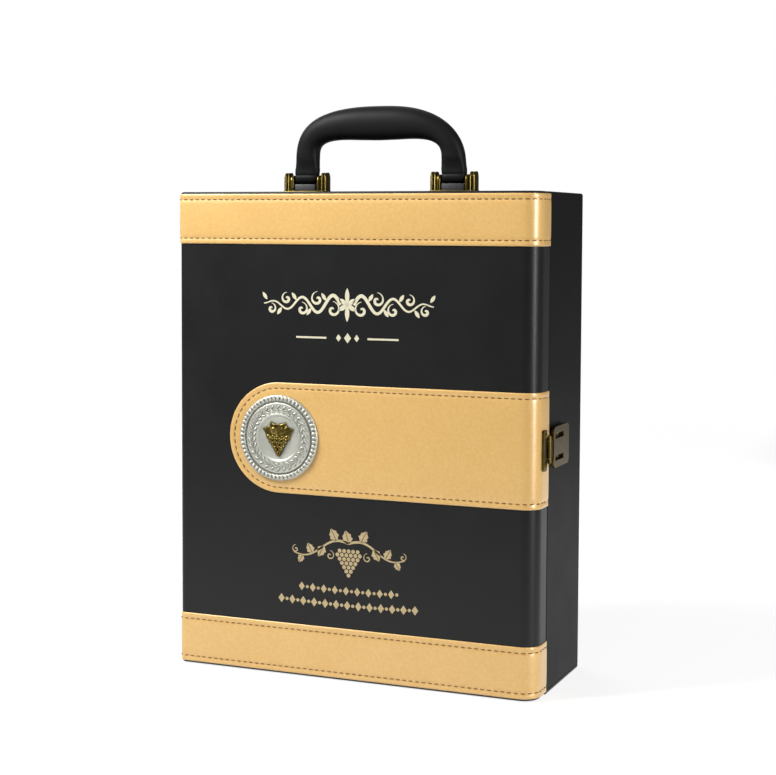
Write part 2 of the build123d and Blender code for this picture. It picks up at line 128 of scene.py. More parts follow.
def softened(node, body, slot, material, width):
    """Piece that stands for a CAD node, with its shape and rounded edges."""
    # Facets that lie in one plane become one face again, so that only true edges are rounded
    mesh = frame["nodes"][node].data.copy()
    work = bmesh.new()
    work.from_mesh(mesh)
    bmesh.ops.remove_doubles(work, verts=work.verts, dist=0.000002)
    bmesh.ops.dissolve_limit(work, angle_limit=math.radians(1), verts=work.verts, edges=work.edges)
    bmesh.ops.connect_verts_concave(work, faces=work.faces)
    bmesh.ops.recalc_face_normals(work, faces=work.faces)
    work.to_mesh(mesh)
    work.free()
    mesh.shade_smooth()
    obj = new_object(node + "_soft", mesh)
    rounded(obj, width)
    finish_piece(obj, body, slot, material, (node,))


def loft(rings, closed=True, caps=True):
    """Points and faces of a surface through rings of equal length."""
    count = len(rings[0])
    verts = [p for ring in rings for p in ring]
    faces = []
    for k in range(len(rings) - 1):
        for i in range(count if closed else count - 1):
            j = (i + 1) % count
            faces.append((k * count + i, k * count + j, (k + 1) * count + j, (k + 1) * count + i))
    if caps:
        faces.append(tuple(range(count)))
        faces.append(tuple((len(rings) - 1) * count + i for i in reversed(range(count))))
    return verts, faces


def merged(parts):
    """One list of points and faces from several."""
    verts, faces = [], []
    for more, tiles in parts:
        base = len(verts)
        verts.extend(more)
        faces.extend(tuple(i + base for i in tile) for tile in tiles)
    return verts, faces


def blob(centre, axes, radii, around, rows, low=-1.0):
    """Ellipsoid, cut off below the height low along its third axis."""
    centre, rings = Vector(centre), []
    start = math.asin(low)
    for k in range(rows + 1):
        lift = start + (math.pi / 2 - start) * k / rows
        wide = max(math.cos(lift), 0.001)
        ring = []
        for i in range(around):
            turn = 2 * math.pi * i / around
            reach = (radii[0] * wide * math.cos(turn), radii[1] * wide * math.sin(turn),
                     radii[2] * math.sin(lift))
            ring.append(centre + axes[0] * reach[0] + axes[1] * reach[1] + axes[2] * reach[2])
        rings.append(ring)
    return loft(rings)


def tube(points, radius, sides):
    """Round bar along a list of points."""
    points = [Vector(p) for p in points]
    rings, side = [], None
    for k, point in enumerate(points):
        run = (points[min(k + 1, len(points) - 1)] - points[max(k - 1, 0)]).normalized()
        if side is None:
            side = run.orthogonal().normalized()
        side = (side - run * side.dot(run)).normalized()
        other = run.cross(side)
        rings.append([point + (side * math.cos(turn) + other * math.sin(turn)) * radius
                      for turn in (2 * math.pi * i / sides for i in range(sides))])
    return loft(rings)


# ---- materials ----

class Shader:
    """A material under construction."""

    def __init__(self, name):
        self.material = bpy.data.materials.new(name)
        self.material.use_nodes = True
        self.tree = self.material.node_tree
        self.surface = self.tree.nodes["Principled BSDF"]
        coordinates = self.tree.nodes.new("ShaderNodeTexCoord")
        scale = self.tree.nodes.new("ShaderNodeVectorMath")
        scale.operation = "SCALE"
        scale.inputs["Scale"].default_value = 1 / MM
        self.tree.links.new(coordinates.outputs["Object"], scale.inputs[0])
        self.place = scale.outputs[0]

    def set(self, **values):
        """Sets inputs of the surface by their names."""
        for name, value in values.items():
            self.surface.inputs[name.replace("_", " ")].default_value = value

    def link(self, source, target):
        self.tree.links.new(source, target)

    def noise(self, size, detail):
        """Noise with features of about that many millimetres."""
        node = self.tree.nodes.new("ShaderNodeTexNoise")
        node.inputs["Scale"].default_value = 1 / size
        node.inputs["Detail"].default_value = detail
        node.inputs["Roughness"].default_value = 0.55
        self.link(self.place, node.inputs["Vector"])
        return node.outputs["Fac"]

    def cells(self, size):
        """Grain of rounded cells of about that many millimetres."""
        node = self.tree.nodes.new("ShaderNodeTexVoronoi")
        node.feature = "SMOOTH_F1"
        node.inputs["Scale"].default_value = 1 / size
        node.inputs["Randomness"].default_value = 1.0
        self.link(self.place, node.inputs["Vector"])
        return node.outputs["Distance"]

    def ramp(self, source, stops):
        """Grey ramp through (place, value) stops."""
        node = self.tree.nodes.new("ShaderNodeValToRGB")
        ramp = node.color_ramp
        while len(ramp.elements) < len(stops):
            ramp.elements.new(0.5)
        for element, (place, value) in zip(ramp.elements, stops):
            element.position = place
            element.color = (value, value, value, 1)
        self.link(source, node.inputs["Fac"])
        return node.outputs["Color"]

    def math(self, operation, a, b):
        """Result of the operation on a and b, where each is a number or a socket."""
        node = self.tree.nodes.new("ShaderNodeMath")
        node.operation = operation
        for socket, value in zip(node.inputs, (a, b)):
            if isinstance(value, (int, float)):
                socket.default_value = value
            else:
                self.link(value, socket)
        return node.outputs[0]

    def mix(self, factor, a, b):
        """Colour between a and b, where each is a colour or a socket."""
        node = self.tree.nodes.new("ShaderNodeMix")
        node.data_type = "RGBA"
        for name, value in (("Factor", factor), ("A", a), ("B", b)):
            socket = next(s for s in node.inputs if s.name == name and s.enabled)
            if isinstance(value, tuple):
                socket.default_value = (*value, 1)
            else:
                self.link(value, socket)
        return next(s for s in node.outputs if s.enabled)

    def bump(self, height, depth, strength):
        """Adds relief of that many millimetres to the surface."""
        node = self.tree.nodes.new("ShaderNodeBump")
        node.inputs["Distance"].default_value = depth * MM
        node.inputs["Strength"].default_value = strength
        self.link(height, node.inputs["Height"])
        self.link(node.outputs["Normal"], self.surface.inputs["Normal"])

    def colour(self, source):
        self.link(source, self.surface.inputs["Base Color"])

    def rough(self, source):
        self.link(source, self.surface.inputs["Roughness"])

    def crevices(self, distance):
        """Dark in corners and recesses, bright on open faces."""
        node = self.tree.nodes.new("ShaderNodeAmbientOcclusion")
        node.inputs["Distance"].default_value = distance * MM
        node.samples = 8
        return node.outputs["AO"]

    def edges(self):
        """One on a flat face, less beside an edge."""
        bevel = self.tree.nodes.new("ShaderNodeBevel")
        bevel.samples = 6
        bevel.inputs["Radius"].default_value = 0.6 * MM
        geometry = self.tree.nodes.new("ShaderNodeNewGeometry")
        node = self.tree.nodes.new("ShaderNodeVectorMath")
        node.operation = "DOT_PRODUCT"
        self.link(bevel.outputs["Normal"], node.inputs[0])
        self.link(geometry.outputs["Normal"], node.inputs[1])
        return node.outputs["Value"]


def black_leather(name="black_leather", roughen=0.0, level=0.28, shade=1.0):
    """Grained leather: level is the strength of its shine, and shade under one makes its colour darker,
    which on the case's leather is painted shade.
    """
    s = Shader(name)
    grain = s.cells(1.1)
    fine = s.noise(0.45, 2.0)
    broad = s.noise(45, 3.0)
    height = s.math("ADD", s.math("MULTIPLY", grain, 0.8), s.math("MULTIPLY", fine, 0.4))
    dark, light = (tuple(value * shade for value in tone)
                   for tone in ((0.0070, 0.0072, 0.0074), (0.0105, 0.0108, 0.0110)))
    s.colour(s.mix(broad, dark, light))
    s.rough(s.ramp(s.math("ADD", s.math("MULTIPLY", broad, 0.5), s.math("MULTIPLY", fine, 0.5)),
                   [(0.3, 0.32 + roughen), (0.7, 0.42 + roughen)]))
    s.bump(height, 0.10, 0.45)
    s.set(Specular_IOR_Level=level, IOR=1.5)
    return s.material


def gold_leather():
    s = Shader("gold_leather")
    grain = s.cells(0.9)
    fine = s.noise(0.5, 2.0)
    broad = s.noise(30, 3.0)
    flecks = s.noise(1.6, 2.0)
    tone = s.mix(broad, (0.730, 0.430, 0.120), (0.800, 0.490, 0.155))
    s.colour(s.mix(s.ramp(flecks, [(0.35, 0.0), (0.75, 0.35)]), tone, (0.900, 0.630, 0.280)))
    s.rough(s.ramp(fine, [(0.3, 0.36), (0.7, 0.48)]))
    height = s.math("ADD", s.math("MULTIPLY", grain, 0.7), s.math("MULTIPLY", fine, 0.4))
    s.bump(height, 0.08, 0.5)
    s.set(Metallic=0.12, Specular_IOR_Level=0.3, IOR=1.5)
    s.set(Coat_Weight=1.0, Coat_IOR=1.62, Coat_Roughness=0.30)
    return s.material


def brass():
    s = Shader("antique_brass")
    wear = s.math("MULTIPLY", s.ramp(s.crevices(2.5), [(0.25, 0.0), (0.95, 1.0)]),
                  s.ramp(s.noise(2.2, 4.0), [(0.2, 0.45), (0.6, 1.0)]))
    bright = s.ramp(s.edges(), [(0.90, 1.0), (0.985, 0.0)])
    base = s.mix(wear, (0.010, 0.007, 0.002), (0.150, 0.108, 0.027))
    s.colour(s.mix(bright, base, (0.400, 0.300, 0.085)))
    s.rough(s.ramp(s.noise(0.8, 3.0), [(0.3, 0.26), (0.7, 0.42)]))
    s.bump(s.noise(0.7, 3.0), 0.04, 0.35)
    s.set(Metallic=1.0)
    return s.material


def silver():
    s = Shader("antique_silver")
    shade = s.ramp(s.crevices(1.6), [(0.45, 0.0), (0.97, 1.0)])
    tone = s.mix(s.noise(3.5, 4.0), (0.480, 0.485, 0.420), (0.640, 0.640, 0.570))
    s.colour(s.mix(shade, (0.060, 0.062, 0.052), tone))
    s.rough(s.ramp(s.noise(0.9, 3.0), [(0.3, 0.42), (0.7, 0.58)]))
    s.bump(s.noise(0.6, 3.0), 0.05, 0.4)
    s.set(Metallic=0.75)
    return s.material


def foil(name, low, high):
    s = Shader(name)
    s.colour(s.mix(s.noise(2.0, 3.0), low, high))
    s.rough(s.ramp(s.noise(0.8, 2.0), [(0.3, 0.28), (0.7, 0.44)]))
    s.bump(s.cells(0.9), 0.03, 0.4)
    s.set(Metallic=0.25)
    return s.material


def thread():
    s = Shader("brown_thread")
    s.colour(s.mix(s.noise(1.2, 2.0), (0.150, 0.066, 0.018), (0.270, 0.130, 0.040)))
    s.rough(s.ramp(s.noise(0.3, 2.0), [(0.3, 0.55), (0.7, 0.75)]))
    s.bump(s.noise(0.25, 2.0), 0.05, 0.6)
    return s.material


def flock():
    s = Shader("flocked_lining")
    s.colour(s.mix(s.noise(9.0, 4.0), (0.455, 0.330, 0.192), (0.525, 0.396, 0.240)))
    s.rough(s.ramp(s.noise(0.5, 2.0), [(0.3, 0.85), (0.7, 0.97)]))
    s.bump(s.noise(0.35, 3.0), 0.12, 0.8)
    s.set(Sheen_Weight=0.6, Sheen_Roughness=0.4, Sheen_Tint=(1.0, 0.90, 0.72, 1.0), Specular_IOR_Level=0.2)
    return s.material


def satin():
    s = Shader("satin_lining")
    weave = s.noise(0.4, 2.0)
    s.colour(s.mix(s.noise(18.0, 3.0), (0.555, 0.415, 0.238), (0.605, 0.460, 0.272)))
    s.rough(s.ramp(weave, [(0.3, 0.42), (0.7, 0.6)]))
    s.bump(weave, 0.05, 0.5)
    s.set(Sheen_Weight=0.3, Sheen_Roughness=0.35, Sheen_Tint=(1.0, 0.93, 0.80, 1.0))
    return s.material


def board():
    s = Shader("fibreboard")
    s.colour(s.mix(s.noise(1.5, 5.0), (0.260, 0.165, 0.085), (0.410, 0.285, 0.160)))
    s.rough(s.ramp(s.noise(0.7, 3.0), [(0.3, 0.75), (0.7, 0.92)]))
    s.bump(s.noise(0.8, 4.0), 0.12, 0.5)
    return s.material


def plastic():
    s = Shader("black_saddle")
    s.colour(s.mix(s.noise(3.0, 3.0), (0.006, 0.006, 0.007), (0.013, 0.0135, 0.015)))
    s.rough(s.ramp(s.noise(0.6, 3.0), [(0.3, 0.42), (0.7, 0.55)]))
    s.bump(s.noise(0.4, 3.0), 0.03, 0.4)
    return s.material


def steel():
    s = Shader("plain_steel")
    s.colour(s.mix(s.noise(2.0, 4.0), (0.06, 0.055, 0.04), (0.15, 0.135, 0.10)))
    s.rough(s.ramp(s.noise(0.7, 3.0), [(0.3, 0.28), (0.7, 0.45)]))
    s.bump(s.noise(0.5, 3.0), 0.03, 0.4)
    s.set(Metallic=1.0)
    return s.material


LEATHER, GOLD, BRASS, SILVER = black_leather(), gold_leather(), brass(), silver()
PALE_FOIL = foil("pale_foil", (0.780, 0.710, 0.480), (0.930, 0.890, 0.700))
TAN_FOIL = foil("tan_foil", (0.440, 0.330, 0.170), (0.640, 0.510, 0.290))
GRIP_LEATHER = black_leather("grip_leather", 0.16, 0.14, 0.9)
# The case's leather is the same leather with its colour darkened to 0.55: painted shade that makes the side
# of the box darker.
PAINTED_SHADE_CASE_LEATHER = black_leather("case_leather", 0.12, 0.10, 0.55)
THREAD, FLOCK, SATIN, BOARD, PLASTIC, STEEL = thread(), flock(), satin(), board(), plastic(), steel()


# ---- the lid's outline, as a path round its front ----

lid_low, lid_high = node_box("lid_leather")
tab_low, tab_high = node_box("gold_tab")
LEFT, RIGHT, FRONT, LID_BACK = lid_low.x, lid_high.x, lid_low.y, lid_high.y
LEFT_RADIUS, RIGHT_RADIUS = 4.0, 12.0
# Lengths of the left side, left corner, front, right corner and right side
PATH = [LID_BACK - FRONT - LEFT_RADIUS, LEFT_RADIUS * math.pi / 2, RIGHT - LEFT - LEFT_RADIUS - RIGHT_RADIUS,
        RIGHT_RADIUS * math.pi / 2, LID_BACK - FRONT - RIGHT_RADIUS]
# Gold leather ends this far from both ends of the path; FRONT_START is the path distance of x = 0
PATH_START = 0.6
PATH_END = sum(PATH) - PATH_START
FRONT_START = PATH[0] + PATH[1] - (LEFT + LEFT_RADIUS)


def lid_point(s, z, out):
    """Point at a distance s round the lid from its left rear edge, raised by out above the leather."""
    if s < PATH[0]:
        return Vector((LEFT - out, LID_BACK - s, z))
    s -= PATH[0]
    if s < PATH[1]:
        turn = s / LEFT_RADIUS
        reach = LEFT_RADIUS + out
        return Vector((LEFT + LEFT_RADIUS - reach * math.cos(turn),
                       FRONT + LEFT_RADIUS - reach * math.sin(turn), z))
    s -= PATH[1]
    if s < PATH[2]:
        return Vector((LEFT + LEFT_RADIUS + s, FRONT - out, z))
    s -= PATH[2]
    if s < PATH[3]:
        turn = s / RIGHT_RADIUS
        reach = RIGHT_RADIUS + out
        return Vector((RIGHT - RIGHT_RADIUS + reach * math.sin(turn),
                       FRONT + RIGHT_RADIUS - reach * math.cos(turn), z))
    return Vector((RIGHT + out, FRONT + RIGHT_RADIUS + s - PATH[3], z))


def lid_stations(start, end):
    """Distances along the path, close together round the corners."""
    marks, place, step = [], 0.0, 8.0
    for k, length in enumerate(PATH):
        count = 10 if k in (1, 3) else max(1, round(length / step))
        marks += [place + length * i / count for i in range(count)]
        place += length
    return [start] + [m for m in marks if start + 0.5 < m < end - 0.5] + [end]


# Height of gold leather over its width: a rolled edge, a dent along the stitches and a soft middle
GOLD_UNDERSIDE = -0.35
STITCH_INSET, STITCH_DENT = 4.0, 0.56
GOLD_PROFILE = [(0.0, GOLD_UNDERSIDE), (0.0, 0.38), (0.12, 0.62), (0.38, 0.78), (1.3, 0.82), (2.8, 0.78),
                (3.5, 0.62), (STITCH_INSET, STITCH_DENT), (4.5, 0.62), (5.2, 0.78), (7.0, 0.86),
                (12.0, 0.90)]


def gold_band(node):
    """Band of gold leather with rolled edges and sewn dents."""
    low, high = node_box(node)
    section = [(low.z + inset, out) for inset, out in GOLD_PROFILE]
    section += [(high.z - inset, out) for inset, out in reversed(GOLD_PROFILE)]
    rings = [[lid_point(s, z, out) for z, out in section] for s in lid_stations(PATH_START, PATH_END)]
    obj = build(node + "_leather", *loft(rings), sharp=60)
    finish_piece(obj, "lid", "gold_leather", GOLD, (node,))


TAB_HALF = (tab_high.z - tab_low.z) / 2
TAB_Z = (tab_high.z + tab_low.z) / 2
TAB_CENTRE = FRONT_START + tab_low.x + TAB_HALF
TAB_CENTRE_X = tab_low.x + TAB_HALF


def tab_outline(inset, arc_steps=40):
    """Path distance and height round the tab's edge, drawn in by inset, from its lower end to its upper."""
    reach = max(TAB_HALF - inset, 0.0)
    run = lid_stations(TAB_CENTRE, PATH_END)
    line = [(s, TAB_Z - reach) for s in reversed(run)]
    for i in range(1, arc_steps):
        turn = math.pi * i / arc_steps
        line.append((TAB_CENTRE - reach * math.sin(turn), TAB_Z - reach * math.cos(turn)))
    return line + [(s, TAB_Z + reach) for s in run]


def gold_tab():
    """Round-ended tab of gold leather, made of rings that follow its edge inwards."""
    profile = GOLD_PROFILE + [(inset, 0.92) for inset in (20.0, 30.0, TAB_HALF)]
    rings = [[lid_point(s, z, out) for s, z in tab_outline(inset)] for inset, out in profile]
    parts = [loft(rings, closed=False, caps=False)]
    tiles = [(2 * k, 2 * k + 1, 2 * k + 3, 2 * k + 2) for k in range(len(profile) - 1)]
    for side in (-1, 1):
        parts.append(([lid_point(PATH_END, TAB_Z + side * (TAB_HALF - inset), height)
                       for inset, out in profile for height in (GOLD_UNDERSIDE, out)], tiles))
    obj = build("gold_tab_leather", *merged(parts), sharp=60)
    finish_piece(obj, "lid", "gold_leather", GOLD, ("gold_tab",))


STITCH_LENGTH, STITCH_PITCH, THREAD_RADIUS = 2.8, 4.85, 0.36


def stitch(point, along, out):
    """One sewn stitch that dips into the leather at both ends."""
    steps = [(-0.5, -0.30), (-0.38, 0.06), (0.0, 0.20), (0.38, 0.06), (0.5, -0.30)]
    line = [point + along * (STITCH_LENGTH * run) + out * rise for run, rise in steps]
    return tube(line, THREAD_RADIUS, 6)


def stitches_on(places):
    """Stitches at equal steps along a line given as (path distance, height) points."""
    parts, left = [], STITCH_PITCH / 2
    for (s0, z0), (s1, z1) in zip(places, places[1:]):
        length = math.hypot(s1 - s0, z1 - z0)
        while left <= length:
            share = left / length
            s, z = s0 + (s1 - s0) * share, z0 + (z1 - z0) * share
            point = lid_point(s, z, STITCH_DENT)
            step = 0.4 / length
            ahead = lid_point(s + (s1 - s0) * step, z + (z1 - z0) * step, STITCH_DENT)
            normal = (lid_point(s, z, STITCH_DENT + 1) - point).normalized()
            parts.append(stitch(point, (ahead - point).normalized(), normal))
            left += STITCH_PITCH
        left -= length
    return parts


def stitching():
    """Stitches along both edges of each band and round the tab."""
    parts = []
    for node in ("gold_band_top", "gold_band_bottom"):
        low, high = node_box(node)
        for z in (low.z + STITCH_INSET, high.z - STITCH_INSET):
            parts += stitches_on([(s, z) for s in lid_stations(2.0, PATH_END - 1.0)])
    parts += stitches_on(tab_outline(STITCH_INSET, arc_steps=80)[1:-1])
    obj = build("gold_stitching", *merged(parts), sharp=80, merge=FINE_MERGE)
    finish_piece(obj, "lid", "gold_leather", THREAD)


# ---- the medallion ----

MEDAL = Vector((TAB_CENTRE_X, node_box("medallion")[1].y, TAB_Z))
ACROSS, UP, OUTWARD = Vector((1, 0, 0)), Vector((0, 0, 1)), Vector((0, -1, 0))


def on_medal(x, z, out=0.0):
    """Point beside and above the medallion's centre."""
    return MEDAL + ACROSS * x + UP * z + OUTWARD * out


def medal_polar(radius, turn, out=0.0):
    """Point at that turn, clockwise from the top, round the medallion's centre."""
    return on_medal(radius * math.sin(turn), radius * math.cos(turn), out)


def medal_axes(turn):
    """Axes of a part that points outward at that turn and lies flat on the medallion."""
    return medal_polar(1, turn) - MEDAL, medal_polar(1, turn + math.pi / 2) - MEDAL, OUTWARD


def medallion():
    """Cast plate with a beaded rim, a wreath of small leaves and a sunken middle."""
    outline = [(0, 0.0), (31.0, 0.0), (31.0, 1.0), (30.6, 1.5), (29.8, 1.8), (27.4, 1.8), (26.9, 1.5),
               (26.6, 0.9), (26.0, 0.8), (25.6, 1.3), (25.0, 1.75), (24.4, 1.75), (24.0, 1.6), (18.0, 1.6),
               (17.5, 1.9), (17.0, 2.0), (16.5, 1.9), (16.1, 1.3), (15.6, 1.1), (8.0, 1.2), (0, 1.25)]
    around, beads, leaves, wreath_radius = 120, 58, 30, 21.0
    rings = [[medal_polar(max(radius, 0.001), 2 * math.pi * i / around, out) for i in range(around)]
             for radius, out in outline]
    parts = [loft(rings, caps=False)]
    for i in range(beads):
        turn = 2 * math.pi * i / beads
        bead = medal_polar(28.7, turn, 1.6)
        parts.append(blob(bead, medal_axes(turn), (2.0, 1.25, 1.25), 10, 5, low=-0.4))
    for i in range(leaves):
        turn = 2 * math.pi * i / leaves
        for side in (-1, 1):
            leaf = medal_polar(wreath_radius + side * 1.7, turn, 1.55)
            axes = medal_axes(turn + math.pi / 2 - side * 0.75)
            parts.append(blob(leaf, axes, (2.1, 0.75, 0.75), 10, 4, low=-0.2))
    parts.append(tube([medal_polar(wreath_radius, 2 * math.pi * i / 90, 1.6) for i in range(91)], 0.4, 6))
    obj = build("medallion_plate", *merged(parts), sharp=50, merge=FINE_MERGE)
    finish_piece(obj, "lid", "silver_plate", SILVER, ("medallion",))


def leaf_outline(length, width):
    """Half outline of a three-lobed vine leaf as (along, across) points."""
    line = []
    steps, lobes = 24, 3
    for i in range(steps + 1):
        t = i / steps
        fullness = max(0.0, math.sin(math.pi * t ** 0.8))
        notch = 1 - 0.28 * abs(math.sin(math.pi * lobes * t))
        line.append((length * t, width / 2 * fullness * notch))
    return line


def vine_leaf(base, lean, length, width):
    """Raised leaf on the medallion with a fold along its middle, turned by lean from upright."""
    along = ACROSS * math.sin(lean) + UP * math.cos(lean)
    across = ACROSS * math.cos(lean) - UP * math.sin(lean)
    line = leaf_outline(length, width)
    lift, crown = 1.9, 0.9
    section = [(1.0, 0.0), (0.85, crown * 0.7), (0.45, crown), (0.06, crown * 0.6)]
    rings = []
    for side, places in ((1, section), (-1, reversed(section))):
        for share, rise in places:
            ring = []
            for a, b in line:
                height = lift + rise * math.sin(math.pi * min(1, 0.1 + a / length * 0.85))
                ring.append(base + along * a + across * (side * b * share) + OUTWARD * height)
            rings.append(ring)
    floor = [base + along * a + OUTWARD * (lift - 0.4) for a, b in line]
    return loft([floor] + rings + [floor], closed=False, caps=False)


def grapes():
    """Bunch of grapes with leaves over it, in relief."""
    parts, pitch = [], 3.7
    for count, z in ((5, 0.6), (4, -2.6), (3, -5.6), (2, -8.4), (1, -11.0)):
        for i in range(count):
            x = (i - (count - 1) / 2) * pitch + RANDOM.uniform(-0.3, 0.3)
            size = RANDOM.uniform(1.8, 2.05)
            parts.append(blob(on_medal(x, z + RANDOM.uniform(-0.3, 0.3), 1.6), (ACROSS, UP, OUTWARD),
                              (size, size, 1.5), 14, 6))
    for count, z in ((4, -1.0), (3, -4.1), (2, -7.0)):
        for i in range(count):
            x = (i - (count - 1) / 2) * pitch
            parts.append(blob(on_medal(x, z, 2.3), (ACROSS, UP, OUTWARD), (1.75, 1.75, 1.3), 14, 6))
    for lean, length, width in ((1.25, 13.0, 10.5), (0.60, 11.0, 8.5)):
        for side in (-1, 1):
            parts.append(vine_leaf(on_medal(0, 2.4), side * lean, length, width))
    parts.append(tube([on_medal(0, 2.5, 2.3), on_medal(0.2, 6.0, 2.7), on_medal(1.2, 10.0, 2.2)], 0.7, 8))
    obj = build("grape_relief", *merged(parts), sharp=60, merge=FINE_MERGE)
    finish_piece(obj, "lid", "antique_brass", BRASS, ("grape_bunch",))


# ---- foil ornaments on the front ----

# Height of the foil's face over the leather, and of its underside
FOIL_OUT, FOIL_UNDER = 0.06, -0.05


def front_point(x, z, out=FOIL_OUT):
    """Point over the flat front of the lid."""
    return Vector((x, FRONT - out, z))


def ribbon(points, widths):
    """Flat stroke of foil along (x, z) points."""
    rings = []
    for k, (x, z) in enumerate(points):
        x0, z0 = points[max(k - 1, 0)]
        x1, z1 = points[min(k + 1, len(points) - 1)]
        length = math.hypot(x1 - x0, z1 - z0) or 1.0
        nx, nz = -(z1 - z0) / length, (x1 - x0) / length
        half = widths[k] / 2
        a, b = (x + nx * half, z + nz * half), (x - nx * half, z - nz * half)
        rings.append([front_point(*a, FOIL_UNDER), front_point(*a), front_point(*b),
                      front_point(*b, FOIL_UNDER)])
    return loft(rings)


def scroll(x, z, size, turns, hand, thick):
    """Spiral curl that opens from its eye and ends straight above it."""
    count, thin = 36, 0.35
    points, widths = [], []
    for i in range(count):
        t = i / (count - 1)
        radius = size * (0.10 + 0.90 * t ** 1.2)
        turn = math.pi / 2 + hand * turns * 2 * math.pi * (t - 1)
        points.append((x + radius * math.cos(turn), z + radius * math.sin(turn)))
        widths.append(thin + (thick - thin) * math.sin(math.pi * min(1.0, 0.08 + 0.92 * i / (count - 1))))
    return ribbon(points, widths)


def petal(x, z, length, width, lean):
    """Leaf-shaped dab of foil."""
    count, thin = 14, 0.05
    points, widths = [], []
    for i in range(count):
        run = length * (i / (count - 1))
        points.append((x + run * math.cos(lean), z + run * math.sin(lean)))
        widths.append(thin + (width - thin) * max(0.0, math.sin(math.pi * i / (count - 1))) ** 0.8)
    return ribbon(points, widths)


def flourish(centre_x, centre_z, half_length, height):
    """Running scroll of curls and leaves, the same to both sides of a central leaf."""
    parts = []
    count, curls, gap, stroke = 90, 5, 5, 2.7
    for side in (-1, 1):
        points = []
        for i in range(count):
            t = i / (count - 1)
            x = centre_x + side * (gap + (half_length - gap) * t)
            z = centre_z + height * 0.30 * (1 - 0.55 * t) * math.sin(t * 2.5 * 2 * math.pi) * (1 - t ** 6)
            points.append((x, z))
        parts.append(ribbon(points, [stroke * (1 - 0.7 * i / (count - 1)) for i in range(count)]))
        for k in range(curls):
            t = (k + 0.5) / curls
            x = centre_x + side * (gap + (half_length - gap) * t)
            size = height * (0.26 - 0.022 * k)
            lift = 1 if k % 2 else -1
            parts.append(scroll(x, centre_z + lift * height * 0.16, size, 1.15, side * lift, 2.1))
            parts.append(petal(x + side * size * 0.9, centre_z - lift * height * 0.12, height * 0.27, stroke,
                               math.atan2(-lift * 0.9, side * 0.6)))
    for lean in (0.5, 1.5, 0.18, 0.82, 1.18, 1.82):
        long = height * (0.52 if lean in (0.5, 1.5) else 0.34)
        parts.append(petal(centre_x, centre_z, long, 3.4, math.pi * lean))
    return parts


def diamond(x, z, size):
    """Upright lozenge of foil."""
    count = 7
    points = [(x, z - size + 2 * size * i / (count - 1)) for i in range(count)]
    return ribbon(points, [size * 1.5 * (1 - abs(2 * i / (count - 1) - 1)) + 0.02 for i in range(count)])


def vine_ornament(centre_x, centre_z, half_length):
    """Bunch of grapes between two vine shoots."""
    parts = []
    for row, count in enumerate((5, 6, 5, 4, 3, 2, 1)):
        for i in range(count):
            x = centre_x + (i - (count - 1) / 2) * 3.5
            z = centre_z + 2.5 - row * 2.9
            parts.append(disc(x, z, 1.45, 16))

    def shoot(side, t):
        """Point at the share t along the shoot on that side."""
        return (centre_x + side * half_length * t,
                centre_z + 8.0 + 3.5 * math.sin(t * 2.0 * math.pi) - 9.0 * t)

    count = 60
    for side in (-1, 1):
        points = [shoot(side, i / (count - 1)) for i in range(count)]
        parts.append(ribbon(points, [1.9 - 1.1 * i / (count - 1) for i in range(count)]))
        for t, lift, size in ((0.22, 1, 9.5), (0.45, -1, 9.0), (0.66, 1, 8.0), (0.84, -1, 6.5)):
            lean = math.atan2(lift * 1.0, side * 0.55)
            parts.append(foil_leaf(*shoot(side, t), size, size * 0.8, lean))
        for share, rise, size, hand in ((0.34, -1.5, 3.6, -side), (0.97, 1.2, 3.0, side)):
            x = centre_x + side * (half_length * share)
            parts.append(scroll(x, centre_z + rise, size, 1.25, hand, 0.9))
    parts.append(foil_leaf(centre_x, centre_z + 7.5, 10.0, 8.5, math.pi / 2 + 0.25))
    return parts


def disc(x, z, radius, sides):
    """Round dot of foil."""
    ring = [(x + radius * math.cos(2 * math.pi * i / sides), z + radius * math.sin(2 * math.pi * i / sides))
            for i in range(sides)]
    return loft([[front_point(*p, FOIL_UNDER) for p in ring], [front_point(*p) for p in ring]])


def foil_leaf(x, z, length, width, lean):
    """Flat lobed leaf, split along its middle by a thin bare line."""
    parts = []
    along, across = (math.cos(lean), math.sin(lean)), (-math.sin(lean), math.cos(lean))
    bare_half, least_width = 0.22, 0.25
    for side in (-1, 1):
        rings = []
        for a, b in leaf_outline(length, width):
            p, q = ((x + along[0] * a + across[0] * side * reach,
                     z + along[1] * a + across[1] * side * reach) for reach in (bare_half, b + least_width))
            rings.append([front_point(*p, FOIL_UNDER), front_point(*p), front_point(*q),
                          front_point(*q, FOIL_UNDER)])
        parts.append(loft(rings))
    return merged(parts)


def arc_row(centre_x, z, half_length, dip, pitch, size):
    """Slightly curved row of lozenges and dots."""
    parts, count = [], round(2 * half_length / pitch)
    for i in range(count + 1):
        t = 2 * i / count - 1
        x = centre_x + half_length * t
        place = z - dip * (1 - t * t)
        parts.append(diamond(x, place, size) if i % 2 == 0 else disc(x, place, size * 0.38, 10))
    return parts


def foil_ornaments():
    """Pale scroll and lozenges above the tab, tan vine and rows below it, as (x, z) places and sizes."""
    parts = flourish(-2.9, 270.0, 65.5, 23.0)
    for x0, x1 in ((-42.7, -19.0), (12.8, 36.4)):
        parts.append(ribbon([(x0, 246.3), (x1, 246.3)], [1.35, 1.35]))
    for x, size in ((-2.5, 3.6), (-9.5, 2.6), (4.5, 2.6)):
        parts.append(diamond(x, 246.5, size))
    obj = build("upper_foil", *merged(parts), sharp=30, merge=FINE_MERGE)
    finish_piece(obj, "lid", "gold_leather", PALE_FOIL)
    parts = vine_ornament(-1.2, 92.0, 43.0)
    parts += arc_row(-1.0, 66.5, 37.0, 0.8, 4.4, 3.1)
    parts += arc_row(-2.2, 56.5, 52.0, 1.2, 4.4, 3.3)
    obj = build("lower_foil", *merged(parts), sharp=30, merge=FINE_MERGE)
    finish_piece(obj, "lid", "gold_leather", TAN_FOIL)


# ---- the handle ----

